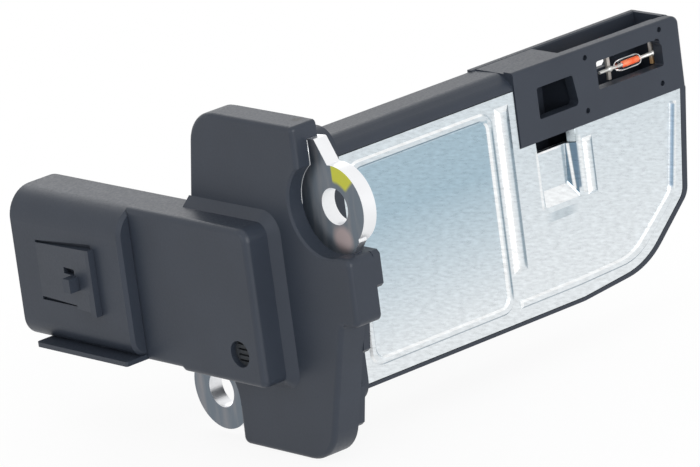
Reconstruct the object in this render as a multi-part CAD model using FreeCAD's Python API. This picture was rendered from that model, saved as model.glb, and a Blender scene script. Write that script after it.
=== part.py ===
import FreeCAD, Part
import math
import os

# Plug-in mass airflow sensor, in millimetres.
# X runs along the probe, from the screw seat (X = 0) to the probe's tip.
# Z is up, against the air flow, so the air inlet opens upwards.
# Y runs towards the connector, and the stamped metal plate faces -Y.
# The origin is the centre of the bolt circle, on the seat face of the two ears.

# Bolt circle and ears
bolt_circle_dia = 42.7
bolt_turn_deg = 44.05
screw_hole_dia = 5.2
ear_radius = 5.75
ear_thickness = 2.3
screw_head_room = 6.7
head_room_chamfer = 0.3
web_cover = 0.9

# Flange
flange_thickness = 4.8
flange_top = 26.55
flange_bottom = -21.45
flange_half_width = 19.15
flange_back = -0.4
flange_shoulder = 9.0
flange_top_right = 10.4
flange_wing_top = flange_half_width - 3.75
flange_bottom_left = 8.45
flange_bottom_right = -10.1
flange_wing_bottom = 3.4 - flange_half_width
flange_edge_radius = 0.7
seat_pad_reach = 0.8

# Probe section
probe_front = -4.85
probe_back = 3.45
probe_bottom = -15.2
probe_shoulder = 18.15
probe_top = 20.5
nose_front_height = 0.9
nose_front_radius = 2.0
nose_ridge_y = -2.3
nose_ridge_radius = 2.4
nose_back_drop = 0.25
nose_back_radius = 0.6
probe_tip = 73.3
tip_corner_radius = 1.2
inlet_start = 40.75
inlet_proud = 0.2
inlet_top_left = 20.75
inlet_top_right = 20.4
inlet_bottom = 9.85
inlet_edge_radius = 0.5

# Collar with the seal ring
collar_length = 6.4
collar_margin = 1.7
collar_top = 21.15
collar_corner = 3.6
seal_start = 2.0
seal_width = 2.6
seal_depth = 1.5
seal_proud = 0.8
seal_side_gap = 0.1
seal_floor_corner = 1.2

# Stamped base plate
plate_thickness = 1.0
plate_start = 7.0
plate_gap = 0.1
rim_width = 0.65
bead_height = 0.35
bead_width = 1.2
bead_slope = 0.3
recess_depth = 1.24
recess_sheet = 0.9
lip_height = 7.75

# Electronics chamber
chamber_left = 10.5
chamber_right = 36.6
chamber_bottom = -11.0
chamber_top = 15.6
chamber_corner = 1.2
board_thickness = 0.64
glue_thickness = 0.15
board_margin = 1.0
gel_depth = 2.0
signal_chip_size = 5.4
signal_chip_thickness = 1.1
capacitor_length = 2.0
capacitor_width = 1.25
capacitor_height = 0.9
resistor_length = 1.6
resistor_width = 0.8
resistor_height = 0.5

# Rear covers
cover_thickness = 1.0
cover_lap = 1.6
cover_gap = 0.1
bypass_cover_start = 40.0
cover_seam = 0.2

# Air channel
channel_left = 42.0
channel_floor = -13.6
partition_left = 52.6
partition_width = 1.8
partition_end = -3.0
vane_radius = 7.4
vane_thickness = 1.0
vane_gap = 0.1
inlet_left = 50.7
inlet_wall = 1.6

# Windows in the inlet's front wall
window_left = 44.9
window_right = 52.2
window_bottom = 12.9
window_top = 17.45
sensor_window_left = probe_tip - 16.7
sensor_window_right = probe_tip - 3.85
sensor_window_bottom = 13.95
sensor_window_top = 18.05

# Air temperature sensor
bead_x = probe_tip - 8.65
bead_length = 5.1
bead_radius = 0.78
element_radius = 0.36
element_length = 3.7
lead_radius = 0.24
lead_z = 15.55
post_width = 0.55
post_thickness = 0.4
post_end = 13.95
near_post_x = bead_x - 3.65
far_post_x = bead_x + 4.95
near_strip_z = 18.45
far_strip_z = 19.3
strip_width = 0.5
strip_foot = 1.2
rail_cover = 0.3
rail_set_back = 0.5
near_lead_tail = 2.15
far_lead_tail = 1.9
element_shift = 0.45

# Connector
neck_front = -9.95
neck_right = -4.25
neck_edge_radius = 0.9
neck_drop = 0.5
neck_step = 0.45
neck_step_y = 13.4
neck_foot = 1.4
neck_foot_reach = 1.2
shroud_front = -12.15
shroud_back = -0.8
shroud_start = 20.55
shroud_end = 44.3
shroud_wall = 1.4
socket_depth = 17.0
shroud_top = 12.6
shroud_bottom = -9.15
shroud_top_front_radius = 4.2
shroud_top_back_radius = 3.3
shroud_low_front_radius = 3.0
shroud_low_back_radius = 2.6
ledge_reach = 1.55
ledge_thickness = 0.7
ledge_drop = 0.25
step_chamfer = 0.5
latch_height = 1.0
ramp_mouth_y = 39.35
ramp_end_y = 26.45
vent_dia = 3.8
vent_depth = 3.0
vent_y = 0.15
vent_z = -5.55

# Terminals
terminal_count = 5
terminal_pitch = 3.2
terminal_width = 1.5
terminal_thickness = 0.6
terminal_x = -6.45
terminal_reach = 9.0
terminal_lane_y = -0.2
terminal_pad = 2.4

# Hot film sensor
finger_width = 4.2
finger_thickness = 0.6
finger_end = 50.0
finger_start = 33.4
finger_z = -1.5
finger_y = -1.3
chip_size = 2.4
chip_thickness = 0.4


def vector(x, y, z):
    return FreeCAD.Vector(x, y, z)


def on_x(x):
    """Places (y, z) pairs on the plane at this X."""
    return lambda y, z: vector(x, y, z)


def on_y(y):
    """Places (x, z) pairs on the plane at this Y."""
    return lambda x, z: vector(x, y, z)


def on_z(z):
    """Places (x, y) pairs on the plane at this Z."""
    return lambda x, y: vector(x, y, z)


def rounded_wire(corners, place):
    """Closed wire round (u, v, radius) corners.

    A corner with a radius gets a tangent arc. A negative one is cut off flat, that far from its point.
    """
    starts = []
    middles = []
    ends = []
    for index, (u, v, radius) in enumerate(corners):
        before = corners[index - 1]
        after = corners[(index + 1) % len(corners)]
        corner = vector(u, v, 0)
        to_before = vector(before[0] - u, before[1] - v, 0).normalize()
        to_after = vector(after[0] - u, after[1] - v, 0).normalize()
        half = to_before.getAngle(to_after) / 2
        setback = radius / math.tan(half) if radius > 0 else -radius
        inward = (to_before + to_after).normalize() if radius > 0 else vector(0, 0, 0)
        starts.append(corner + to_before * setback)
        ends.append(corner + to_after * setback)
        middles.append(corner + inward * (radius / math.sin(half) - radius))
    edges = []
    for index, (u, v, radius) in enumerate(corners):
        a = place(starts[index].x, starts[index].y)
        b = place(ends[index].x, ends[index].y)
        last = place(ends[index - 1].x, ends[index - 1].y)
        if (a - last).Length > 1e-6:
            edges.append(Part.makeLine(last, a))
        if radius > 0:
            middle = place(middles[index].x, middles[index].y)
            edges.append(Part.Arc(a, middle, b).toShape())
        if radius < 0:
            edges.append(Part.makeLine(a, b))
    return Part.Wire(edges)


def prism(corners, place, way):
    return Part.Face(rounded_wire(corners, place)).extrude(way)


def block(x0, x1, y0, y1, z0, z1):
    return Part.makeBox(x1 - x0, y1 - y0, z1 - z0, vector(x0, y0, z0))


def rectangle(u0, u1, v0, v1, radius=0):
    return [(u0, v0, radius), (u1, v0, radius), (u1, v1, radius), (u0, v1, radius)]


def fuse(first, *others):
    return first.multiFuse(list(others)).removeSplitter()


def cut(shape, *tools):
    for tool in tools:
        shape = shape.cut(tool)
    return shape


def edges_on(shape, axis, value):
    """The edges that lie wholly on the plane where this axis has this value."""
    low = axis + "Min"
    high = axis + "Max"
    chosen = []
    for edge in shape.Edges:
        box = edge.BoundBox
        if abs(getattr(box, low) - value) < 1e-4 and abs(getattr(box, high) - value) < 1e-4:
            chosen.append(edge)
    return chosen


bolt_radius = bolt_circle_dia / 2
hole_y = -bolt_radius * math.sin(math.radians(bolt_turn_deg))
hole_z = bolt_radius * math.cos(math.radians(bolt_turn_deg))
holes = [(hole_y, hole_z), (-hole_y, -hole_z)]
plate_inner = probe_front + plate_thickness
cover_inner = probe_back - cover_thickness
along_x = vector(1, 0, 0)
along_y = vector(0, 1, 0)
along_z = vector(0, 0, 1)


def hole_cylinders(radius, x0, x1):
    return [Part.makeCylinder(radius, x1 - x0, vector(x0, y, z), along_x) for y, z in holes]


def flange_outline():
    """Seen along X. The corners beside the two holes lie inside the screw head cut-outs."""
    w = flange_half_width
    left = flange_shoulder
    return [
        (4 + hole_y, flange_top, 0.6),
        (flange_top_right, flange_top, 5.5),
        (flange_wing_top, 0.7, 0.8),
        (w, 0.7, 1.2),
        (w, -left, 1.0),
        (-hole_y, -left, 0),
        (flange_bottom_left - 0.15, -hole_z, 0),
        (flange_bottom_left, flange_bottom, 1.0),
        (flange_bottom_right, flange_bottom, 6.0),
        (flange_wing_bottom, -0.8, 0.8),
        (-w, -0.8, 1.2),
        (-w, left, 1.0),
        (hole_y, left, 0),
        (4 + hole_y, hole_z + 2.6, 0),
    ]


def in_head_room(edge):
    """True for an edge that the cut-out of a screw head takes away."""
    middle = edge.CenterOfMass
    for y, z in holes:
        if math.hypot(middle.y - y, middle.z - z) < screw_head_room:
            return True
    return False


def flange():
    front = -flange_thickness
    body = prism(flange_outline(), on_x(front), along_x * (flange_back - front))
    rounded = [edge for edge in edges_on(body, "X", front) if not in_head_room(edge)]
    body = body.makeFillet(flange_edge_radius, rounded)
    c = head_room_chamfer
    cones = [Part.makeCone(screw_head_room + c, screw_head_room, c, vector(front, y, z), along_x)
             for y, z in holes]
    return cut(body, *hole_cylinders(screw_head_room, front - 1, 1), *cones)


def seat_pads():
    """Raised pads on the flange's back, round its edge."""
    w = flange_half_width
    width = 4.4
    length = 5.2
    left = flange_shoulder
    c = -0.5
    outlines = [
        rectangle(-w, -w + width, left - length, left, c),
        [(-14.5, -6.2, c), (-10.8, -6.2, c), (-11.8, -1.6, c), (-15.2, -1.6, c)],
        [(-11.2, -17.3, c), (-8.0, -17.3, c), (-8.0, -11.0, c), (-12.5, -11.0, c)],
        rectangle(w - width, w, -left, length - left, c),
        rectangle(-7.6, 7.2, flange_top - 2.4, flange_top - 0.5, c),
    ]
    return [prism(outline, on_x(flange_back), along_x * (seat_pad_reach - flange_back))
            for outline in outlines]


def collar():
    """Root of the probe, which fits the hole in the air duct."""
    m = collar_margin
    outline = rectangle(probe_front - m, probe_back + m, probe_bottom - m,
                        collar_top + m, collar_corner)
    return prism(outline, on_x(flange_back), along_x * (collar_length - flange_back))


def seal_floor():
    d = collar_margin - seal_depth
    return rectangle(probe_front - d, probe_back + d, probe_bottom - d,
                     collar_top + d, -seal_floor_corner)


def seal_groove():
    m = collar_margin + 1
    outside = rectangle(probe_front - m, probe_back + m, probe_bottom - m,
                        collar_top + m)
    space = prism(outside, on_x(seal_start), along_x * seal_width)
    return space.cut(prism(seal_floor(), on_x(seal_start), along_x * seal_width))


def seal_ring():
    m = collar_margin + seal_proud
    d = collar_margin - seal_depth
    outline = rectangle(probe_front - m, probe_back + m, probe_bottom - m,
                        collar_top + m, collar_corner + seal_proud)
    length = seal_width - 2 * seal_side_gap
    start = seal_start + seal_side_gap
    ring = prism(outline, on_x(start), along_x * length)
    ring = ring.cut(prism(seal_floor(), on_x(start), along_x * length))
    outer_edges = []
    for edge in edges_on(ring, "X", start) + edges_on(ring, "X", start + length):
        box = edge.BoundBox
        near_floor = box.YMin > probe_front - d - 0.01 and box.YMax < probe_back + d + 0.01
        low_enough = box.ZMin > probe_bottom - d - 0.01
        high_enough = box.ZMax < collar_top + d + 0.01
        if not (near_floor and low_enough and high_enough):
            outer_edges.append(edge)
    return ring.makeChamfer(length * 0.3, outer_edges)


def tip_outline(inset, top, left):
    """Outline of the probe's end seen along Y, drawn in by this much, from the left edge."""
    i = inset
    return [
        (left, top, 0),
        (probe_tip - i, top, tip_corner_radius),
        (probe_tip - i, 9.55, 0),
        (probe_tip - 2.0 - i, -5.6 + i * 0.4, 3.0),
        (probe_tip - 11.2 - i * 0.6, -14.0 + i * 0.9, 12.0),
        (probe_tip - 24.0, probe_bottom + i, 0),
        (left, probe_bottom + i, 0),
    ]


def body_left():
    """Half of the probe beside the flange, with a rounded leading edge on top."""
    outline = [
        (probe_front, probe_bottom, 0),
        (probe_back, probe_bottom, 0),
        (probe_back, probe_top - nose_back_drop, nose_back_radius),
        (nose_ridge_y, probe_top, nose_ridge_radius),
        (probe_front, probe_shoulder + nose_front_height, nose_front_radius),
    ]
    return prism(outline, on_x(0), along_x * (inlet_start + 1.0))


def body_right():
    """Half of the probe at the tip, squared off round the air inlet."""
    depth = cover_inner - probe_front
    body = prism(tip_outline(0, probe_top, inlet_start), on_y(probe_front), along_y * depth)
    face = [
        (inlet_start, inlet_bottom, 0),
        (probe_tip, inlet_bottom, 0),
        (probe_tip, inlet_top_right, tip_corner_radius),
        (inlet_start, inlet_top_left, 0),
    ]
    front = prism(face, on_y(probe_front - inlet_proud), along_y * (inlet_wall + inlet_proud))
    rounded = []
    for edge in edges_on(front, "Y", probe_front - inlet_proud):
        box = edge.BoundBox
        if box.ZMax > inlet_bottom + 0.1 and box.XMax > inlet_start + 0.1:
            rounded.append(edge)
    front = front.makeFillet(inlet_edge_radius, rounded)
    return fuse(body.cut(inlet_front_space()), front)


def inlet_front_space():
    """What the probe's body leaves free for the inlet's front wall."""
    return block(inlet_start, probe_tip + 1, probe_front - 1, probe_front + inlet_wall, inlet_bottom,
                 probe_top + 1)


def channel_space():
    """The bypass: down from the inlet, round the partition's end and up to the side window."""
    low = plate_inner
    depth = cover_inner - low
    space = prism([
        (channel_left, 17.6, 1.5),
        (partition_left + partition_width, 17.6, 0),
        (probe_tip - 1.6, 17.6, 0),
        (probe_tip - 1.35, 9.3, 0),
        (probe_tip - 3.3, -5.2, 3.0),
        (probe_tip - 12.0, -12.9, 10.0),
        (probe_tip - 24.0, channel_floor, 0),
        (channel_left, channel_floor, 6.5),
    ], on_y(low), along_y * (depth + 1))
    face_wall = block(inlet_start, probe_tip, low - 1, probe_front + inlet_wall, inlet_bottom, probe_top)
    trough = prism([
        (inlet_left, probe_top + 1, 0),
        (probe_tip - 1.7, probe_top + 1, 0),
        (probe_tip - 1.6, 17.0, 0),
        (partition_left + partition_width, 17.0, 0),
    ], on_y(probe_front + inlet_wall), along_y * (depth + 1))
    return fuse(space.cut(face_wall), trough)


def partition():
    """Wall between the two legs of the bypass, with a rounded end."""
    depth = cover_inner - plate_inner
    right = partition_left + partition_width
    web = prism([
        (partition_left, 17.6, 0),
        (right, 17.6, 0),
        (right, partition_end + 4, 0),
        (right + 1.2, partition_end, 1.4),
        (partition_left - 1.2, partition_end, 1.4),
        (partition_left, partition_end + 4, 0),
    ], on_y(plate_inner), along_y * depth)
    return web


def guide_vane():
    """Curved vane on the bypass cover that leads the air round the partition's end."""
    low = plate_inner + vane_gap
    depth = cover_inner - low
    centre = vector(partition_left + partition_width / 2, low, partition_end + 1)
    outer = Part.makeCylinder(vane_radius, depth, centre, along_y)
    inner = Part.makeCylinder(vane_radius - vane_thickness, depth, centre, along_y)
    reach = vane_radius + 1
    quarter = block(centre.x + 2, centre.x + reach, low - 1, cover_inner + 1, centre.z - reach, centre.z)
    return outer.cut(inner).common(quarter)


def window_cutters():
    low = probe_front - inlet_proud - 1
    depth = inlet_wall + inlet_proud + 1.5
    left = prism([
        (window_left, window_bottom, -0.2),
        (window_right, window_bottom, -0.2),
        (window_right + 0.25, window_bottom + 0.6, 0),
        (window_right - 0.4, window_top, -0.2),
        (window_left, window_top, -0.2),
    ], on_y(low), along_y * depth)
    right = prism([
        (sensor_window_left, sensor_window_bottom, -0.2),
        (sensor_window_right, sensor_window_bottom, -0.2),
        (sensor_window_right, sensor_window_top - 1.0, 0.6),
        (sensor_window_right - 1.6, sensor_window_top, 0.9),
        (sensor_window_left, sensor_window_top, -0.2),
    ], on_y(low), along_y * depth)
    notch = Part.makeCylinder(0.6, depth, vector(sensor_window_right - 0.9, low, sensor_window_top - 0.5),
                              along_y)
    return [left, right, notch]


def pin_hole_cutters():
    """Four small blind holes round the sensor window."""
    low = probe_front - inlet_proud - 1
    spots = [(69.3, 19.3), (68.8, 11.5), (54.6, 19.2), (54.0, 11.6)]
    return [Part.makeCylinder(0.4, 1.6, vector(x, low, z), along_y) for x, z in spots]


rail_front = probe_front + inlet_wall + rail_set_back
lead_y = rail_front - lead_radius


def rail():
    """Rib inside the front wall, above the windows, that holds the two conductors."""
    low = probe_front + inlet_wall - 0.2
    high = rail_front + post_thickness + rail_cover
    return block(inlet_left - 1.5, far_post_x + 1.2, low, high, near_strip_z - rail_cover,
                 far_strip_z + strip_width + rail_cover)


def conductor(strip_z, start, post_x):
    """Strip that runs above the windows, with a post for the bead and a foot in the chamber."""
    def bar(x0, x1, z0, z1):
        return block(x0, x1, rail_front, rail_front + post_thickness, z0, z1)
    half = post_width / 2
    run = bar(start, post_x + half, strip_z, strip_z + strip_width)
    post = bar(post_x - half, post_x + half, post_end, strip_z + strip_width)
    foot = bar(start, start + strip_width, chamber_top - strip_foot, strip_z + strip_width)
    return fuse(run, post, foot)


def conductor_near():
    return conductor(near_strip_z, chamber_right - 1.3, near_post_x)


def conductor_far():
    return conductor(far_strip_z, chamber_right - 2.7, far_post_x)


def bead_axis(x0, x1, radius):
    return Part.makeCylinder(radius, x1 - x0, vector(x0, lead_y, lead_z), along_x)


def temperature_glass():
    """Glass bead, with rounded ends and a hollow for the element."""
    half = bead_length / 2
    glass = bead_axis(bead_x - half, bead_x + half, bead_radius)
    ends = edges_on(glass, "X", bead_x - half) + edges_on(glass, "X", bead_x + half)
    glass = glass.makeChamfer(bead_radius * 0.5, ends)
    bore = bead_axis(bead_x - half - 1, bead_x + half + 1, lead_radius)
    return cut(glass, temperature_element(), bore)


def temperature_element():
    half = element_length / 2
    middle = bead_x + element_shift
    return bead_axis(middle - half, middle + half, element_radius)


def temperature_leads():
    """One lead each side, from the element to just past its post."""
    half = element_length / 2
    middle = bead_x + element_shift
    near = bead_axis(near_post_x - near_lead_tail, middle - half, lead_radius)
    far = bead_axis(middle + half, far_post_x + far_lead_tail, lead_radius)
    return near, far


def neck_outline(out):
    """Seen along X, grown by this much at its right side, its top and its bottom."""
    end = shroud_start + step_chamfer + 0.1
    low = shroud_bottom - neck_drop - out
    return [
        (neck_right - out, shroud_top + out, 1.8 + out),
        (end, shroud_top + out, 0),
        (end, low, 0),
        (neck_step_y, low, 0.5),
        (neck_step_y - neck_step, low - neck_step, 0.5),
        (neck_right - out, low - neck_step, 1.0 + out),
    ]


def neck():
    """Block between the flange and the socket, with a sloped foot on the flange."""
    body = prism(neck_outline(0), on_x(neck_front), along_x * (shroud_back - neck_front))
    body = body.makeFillet(neck_edge_radius, edges_on(body, "X", neck_front))
    box = body.BoundBox
    back_rounding = prism([
        (box.XMin, box.ZMin, 0),
        (shroud_back, box.ZMin, 0),
        (shroud_back, shroud_top, shroud_top_back_radius),
        (box.XMin, shroud_top, 0),
    ], on_y(box.YMin), along_y * box.YLength)
    front = -flange_thickness
    foot = Part.makeLoft([
        rounded_wire(neck_outline(0), on_x(front - neck_foot_reach)),
        rounded_wire(neck_outline(neck_foot), on_x(front)),
    ], True, True)
    over_flange = prism(flange_outline(), on_x(front - neck_foot_reach), along_x * neck_foot_reach)
    head_rooms = hole_cylinders(screw_head_room, front - neck_foot_reach, front)
    return fuse(body.common(back_rounding), cut(foot.common(over_flange), *head_rooms))


def shroud():
    """Socket moulding and the space inside it."""
    def section(i):
        return [
            (shroud_front + i, shroud_bottom + i, shroud_low_front_radius - i),
            (shroud_back - i, shroud_bottom + i, shroud_low_back_radius - i),
            (shroud_back - i, shroud_top - i, shroud_top_back_radius - i),
            (shroud_front + i, shroud_top - i, shroud_top_front_radius - i),
        ]
    outer = prism(section(0), on_y(shroud_start), along_y * (shroud_end - shroud_start))
    outer = outer.makeChamfer(step_chamfer, edges_on(outer, "Y", shroud_start))
    socket = prism(section(shroud_wall), on_y(shroud_end - socket_depth), along_y * (socket_depth + 1))
    return outer, socket


def latch_pad():
    """Ramp with a square catch, and a small nub, on the socket's front."""
    ramp = prism([
        (shroud_front + 0.5, ramp_mouth_y, 0),
        (shroud_front, ramp_mouth_y, 0),
        (shroud_front - latch_height, 27.2, 0),
        (shroud_front - latch_height, ramp_end_y, 0),
        (shroud_front + 0.5, ramp_end_y, 0),
    ], on_z(-2.7), along_z * 10)
    above = prism([
        (ramp_mouth_y, 5.7, 0),
        (ramp_end_y, 6.45, 0),
        (ramp_end_y, 9.0, 0),
        (ramp_mouth_y, 9.0, 0),
    ], on_x(shroud_front - 2), along_x * 4)
    toe = block(shroud_front - latch_height, shroud_front + 0.5, ramp_end_y, 27.6, -3.25, 0)
    nub = block(shroud_front - 2.45, shroud_front, 29.7, 31.2, 0.2, 2.2)
    return [ramp.cut(above), toe, nub]


def latch_grooves():
    upper = prism([
        (ramp_mouth_y, 5.7, 0),
        (ramp_end_y + 0.6, 6.4, 0),
        (ramp_end_y + 0.6, 7.0, 0),
        (ramp_mouth_y, 6.05, 0),
    ], on_x(shroud_front - 0.4), along_x)
    lower = block(shroud_front - 1, shroud_front + 0.6, 30.9, ramp_mouth_y, -2.7, -2.2)
    pit = block(shroud_front - 2, shroud_front + 0.6, 30.5, 33.0, 2.2, 3.1)
    return [upper, lower, pit]


def ledge():
    """Thin guide rail along the socket's lower edge."""
    x0 = shroud_front - ledge_reach
    low = shroud_bottom - ledge_drop
    outline = [
        (x0, 40.4, 0.6),
        (x0, shroud_start, 0.3),
        (neck_front + 2, shroud_start, 0),
        (neck_front + 2, 40.4, 0),
    ]
    return prism(outline, on_z(low), along_z * ledge_thickness)


def terminal(index):
    """Flat strip that turns from the socket into the electronics chamber."""
    z = terminal_z(index) - terminal_width / 2
    half = terminal_thickness / 2
    tip_y = shroud_end - socket_depth + terminal_reach
    lane = terminal_lane_y
    end_x = chamber_left + terminal_pad
    outline = [
        (terminal_x - half, tip_y, -0.15),
        (terminal_x - half, lane - half, -0.7),
        (end_x, lane - half, 0),
        (end_x, lane + half, 0),
        (terminal_x + half, lane + half, -0.35),
        (terminal_x + half, tip_y, -0.15),
    ]
    return prism(outline, on_z(z), along_z * terminal_width)


def terminal_z(index):
    middle = (shroud_top + shroud_bottom) / 2
    return middle + (index - (terminal_count - 1) / 2) * terminal_pitch


def vent_hole():
    return Part.makeCylinder(vent_dia / 2, vent_depth + 1, vector(neck_front - 1, vent_y, vent_z), along_x)


def vent_plug():
    """Ribbed plug that lets the housing breathe, set back in its hole."""
    start = neck_front + 0.9
    plug = Part.makeCylinder(vent_dia / 2, vent_depth - 0.9, vector(start, vent_y, vent_z), along_x)
    slots = []
    for step in range(4):
        z = vent_z - 1.35 + step * 0.8
        slots.append(block(start - 1, start + 0.5, vent_y - 1.3, vent_y + 1.3, z, z + 0.3))
    return cut(plug, *slots)


def plate_outline(gap):
    """Metal plate seen along Y. Its upper right is cut away below the inlet block."""
    g = gap
    edge = rim_width - g
    return [
        (plate_start - g, probe_shoulder + g, 0),
        (inlet_start - 0.15 + g, probe_shoulder + g, 0),
        (inlet_start - 0.15 + g, inlet_bottom - 0.1 + g, 0),
        (probe_tip - 1.1 + g, inlet_bottom - 0.1 + g, 0),
        (probe_tip - 3.0 + g, -5.3 - g, 2.6),
        (probe_tip - 11.8, -13.3 - g, 11.5),
        (probe_tip - 24.0, probe_bottom + edge, 0),
        (plate_start - g, probe_bottom + edge, 0),
    ]


def rib(x0, x1, z0, z1, y, height, shrink):
    """Straight rib with long sloped sides, pressed out to this Y from a sheet this much behind it."""
    s = shrink
    side = (x1 - x0) * 0.3
    crest = rectangle(x0 + side + s, x1 - side - s, z0 + side + s, z1 - side - s)
    base = rectangle(x0 + s, x1 - s, z0 + s, z1 - s)
    return Part.makeLoft([rounded_wire(crest, on_y(y)), rounded_wire(base, on_y(y + height))], True, True)


def bead_ring(corners, inner_corners, y, height, slope):
    ring = prism(corners, on_y(y), along_y * height)
    ring = ring.cut(prism(inner_corners, on_y(y), along_y * height))
    return ring.makeChamfer(slope, edges_on(ring, "Y", y)) if slope else ring


def plate_beads(y, height, shrink, slope):
    """Raised lines pressed into the plate, as solids on the plane at this Y.

    They have sloped sides and round corners, where the hollows behind them have plain ones.
    """
    s = shrink
    w = bead_width
    k = 1 if slope else 0
    panel_outer = rectangle(8.7 + s, 36.0 - s, -12.7 + s, 16.8 - s, 2.2 * k)
    panel_inner = rectangle(8.7 + w - s, 36.0 - w + s, -12.7 + w - s, 16.8 - w + s, 1.4 * k)
    panel = bead_ring(panel_outer, panel_inner, y, height, slope)
    tip_outer = [
        (37.1, 8.3, 0),
        (probe_tip - 2.2 - s, 8.3, 0),
        (probe_tip - 4.5 - s, -4.9 + s, 3.2 * k),
        (probe_tip - 13.0 - s, -12.3 + s, 9.0 * k),
        (probe_tip - 25.0, -12.7 + s, 0),
        (37.1, -12.7 + s, 0),
    ]
    tip_inner = [
        (36.5, 9.0, 0),
        (probe_tip - 2.2 - w + s, 9.0, 0),
        (probe_tip - 4.5 - w + s, -4.9 + w * 0.7 - s, 2.6 * k),
        (probe_tip - 13.0 - w + s, -12.3 + w - s, 8.0 * k),
        (probe_tip - 25.0, -12.7 + w - s, 0),
        (36.5, -12.7 + w - s, 0),
    ]
    tip = bead_ring(tip_outer, tip_inner, y, height, slope)
    long_rib = rib(36.6, 39.5, -7.6, 16.8, y, height, s)
    short_rib = rib(52.3, 54.3, -0.4, 8.1, y, height, s)
    return [panel, tip, long_rib, short_rib]


def recess_wire(depth, grow):
    """Outline of the outlet's recess at this depth below the plate's face, grown by this much."""
    t = depth / recess_depth
    g = grow
    top = inlet_bottom + 0.7
    return rounded_wire([
        (44.1 + 0.4 * t - g, 2.06 * t - g, 0.4),
        (50.75 - 0.95 * t + g, 2.06 * t - g, 0.4),
        (51.4 - 1.05 * t + g, top, 0),
        (43.65 + 0.55 * t - g, top, 0),
    ], on_y(probe_front + depth))


def recess():
    """Ramp pressed into the plate, down which the air leaves the outlet."""
    return Part.makeLoft([recess_wire(-0.7, 0), recess_wire(recess_depth, 0)], True, True)


def recess_back():
    """The recess seen from inside, one sheet thickness behind it."""
    outer = recess_wire(plate_thickness / 2, recess_sheet * 0.8)
    inner = recess_wire(recess_depth, recess_sheet * 0.5)
    inner.translate(along_y * recess_sheet)
    above_lip = block(inlet_start, probe_tip, probe_front, cover_inner, lip_height, probe_top)
    return Part.makeLoft([outer, inner], True, True).cut(above_lip)


def outlet_notch():
    """Opening in the plate between the recess's lip and the inlet block."""
    return prism([
        (43.7, lip_height, 0),
        (51.25, lip_height, 0),
        (51.35, inlet_bottom + 1, 0),
        (43.6, inlet_bottom + 1, 0),
    ], on_y(probe_front - 1), along_y * (plate_thickness + recess_depth + recess_sheet + 2))


def base_plate():
    """Stamped sheet: heat sink of the circuit, and front wall of the air channel."""
    sheet = prism(plate_outline(0), on_y(probe_front), along_y * plate_thickness)
    raised = plate_beads(probe_front - bead_height, bead_height + 0.05, 0, bead_slope)
    sheet = fuse(sheet, recess_back(), *raised)
    hollows = plate_beads(plate_inner - bead_height, bead_height + 0.1, 0.25, 0)
    return cut(sheet, recess(), outlet_notch(), *hollows)


def chamber_space():
    """Opening through the probe for the circuit."""
    outline = rectangle(chamber_left, chamber_right, chamber_bottom, chamber_top, -chamber_corner)
    return prism(outline, on_y(plate_inner - 1), along_y * (cover_inner - plate_inner + 2))


def cover_outline(gap):
    lap = cover_lap + gap
    return rectangle(chamber_left - lap, chamber_right + lap, chamber_bottom - lap, chamber_top + lap,
                     -chamber_corner - 0.6 * lap)


def terminal_shelf():
    """Ledge at the chamber's left, on which the terminals' bonding pads lie."""
    top = terminal_z(terminal_count - 1) + terminal_width
    bottom = terminal_z(0) - terminal_width
    low = terminal_lane_y + terminal_thickness / 2 - 1.6
    return block(chamber_left - 0.5, chamber_left + terminal_pad, low,
                 terminal_lane_y - terminal_thickness / 2, bottom, top)


def electronics_cover():
    """Back cover of the circuit, with a locating rim inside the chamber."""
    lid = prism(cover_outline(-cover_gap), on_y(cover_inner), along_y * cover_thickness)
    g = 0.15
    rim = rectangle(chamber_left + g, chamber_right - g, chamber_bottom + g, chamber_top - g,
                    -chamber_corner)
    t = 1.1 + g
    hollow = rectangle(chamber_left + t, chamber_right - t, chamber_bottom + t, chamber_top - t)
    skirt = prism(rim, on_y(cover_inner - 1.0), along_y * 1.0)
    skirt = skirt.cut(prism(hollow, on_y(cover_inner - 1.0), along_y * 1.0))
    return fuse(lid, skirt)


def bypass_cover():
    """Back wall of the air channel, with a window behind the temperature sensor."""
    lid = prism(tip_outline(0, probe_top, bypass_cover_start), on_y(cover_inner),
                along_y * cover_thickness)
    seam = [edge for edge in edges_on(lid, "Z", probe_top) if edge.BoundBox.YMax < cover_inner + 0.1]
    lid = lid.makeChamfer(cover_seam, seam)
    window = prism(rectangle(sensor_window_left, sensor_window_right - 3.7, 14.2, 18.2, -0.4),
                   on_y(cover_inner - 1), along_y * 3)
    rim = prism([
        (channel_left + 0.2, 15.0, -0.6),
        (channel_left + 1.2, 15.0, 0),
        (channel_left + 1.2, channel_floor + 9.0, 0),
        (channel_left + 0.2, channel_floor + 9.0, 0),
    ], on_y(cover_inner - 0.8), along_y * 0.8)
    return fuse(lid, rim, guide_vane()).cut(window)


def sealant(outer, inner, y, depth):
    ring = prism(outer, on_y(y), along_y * depth)
    return ring.cut(prism(inner, on_y(y), along_y * depth))


def front_sealant():
    """Bead of sealant in a groove between the plate and the housing."""
    a = 0.8
    b = 1.5
    outer = rectangle(chamber_left - b, chamber_right + 1.2, chamber_bottom - 1.4, chamber_top + b, -1.8)
    inner = rectangle(chamber_left - b + a, chamber_right + 1.2 - a, chamber_bottom - 1.4 + a,
                      chamber_top + b - a, -1.4)
    return sealant(outer, inner, plate_inner, 0.5)


def rear_sealant():
    outer = cover_outline(-0.3)
    inner = cover_outline(-1.1)
    return sealant(outer, inner, cover_inner - 0.4, 0.4)


def circuit_board():
    m = board_margin
    left = chamber_left + terminal_pad + 0.8
    y = plate_inner + glue_thickness
    return block(left, finger_start - 0.6, y, y + board_thickness, chamber_bottom + m,
                 chamber_top - m - 1.6)


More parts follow.
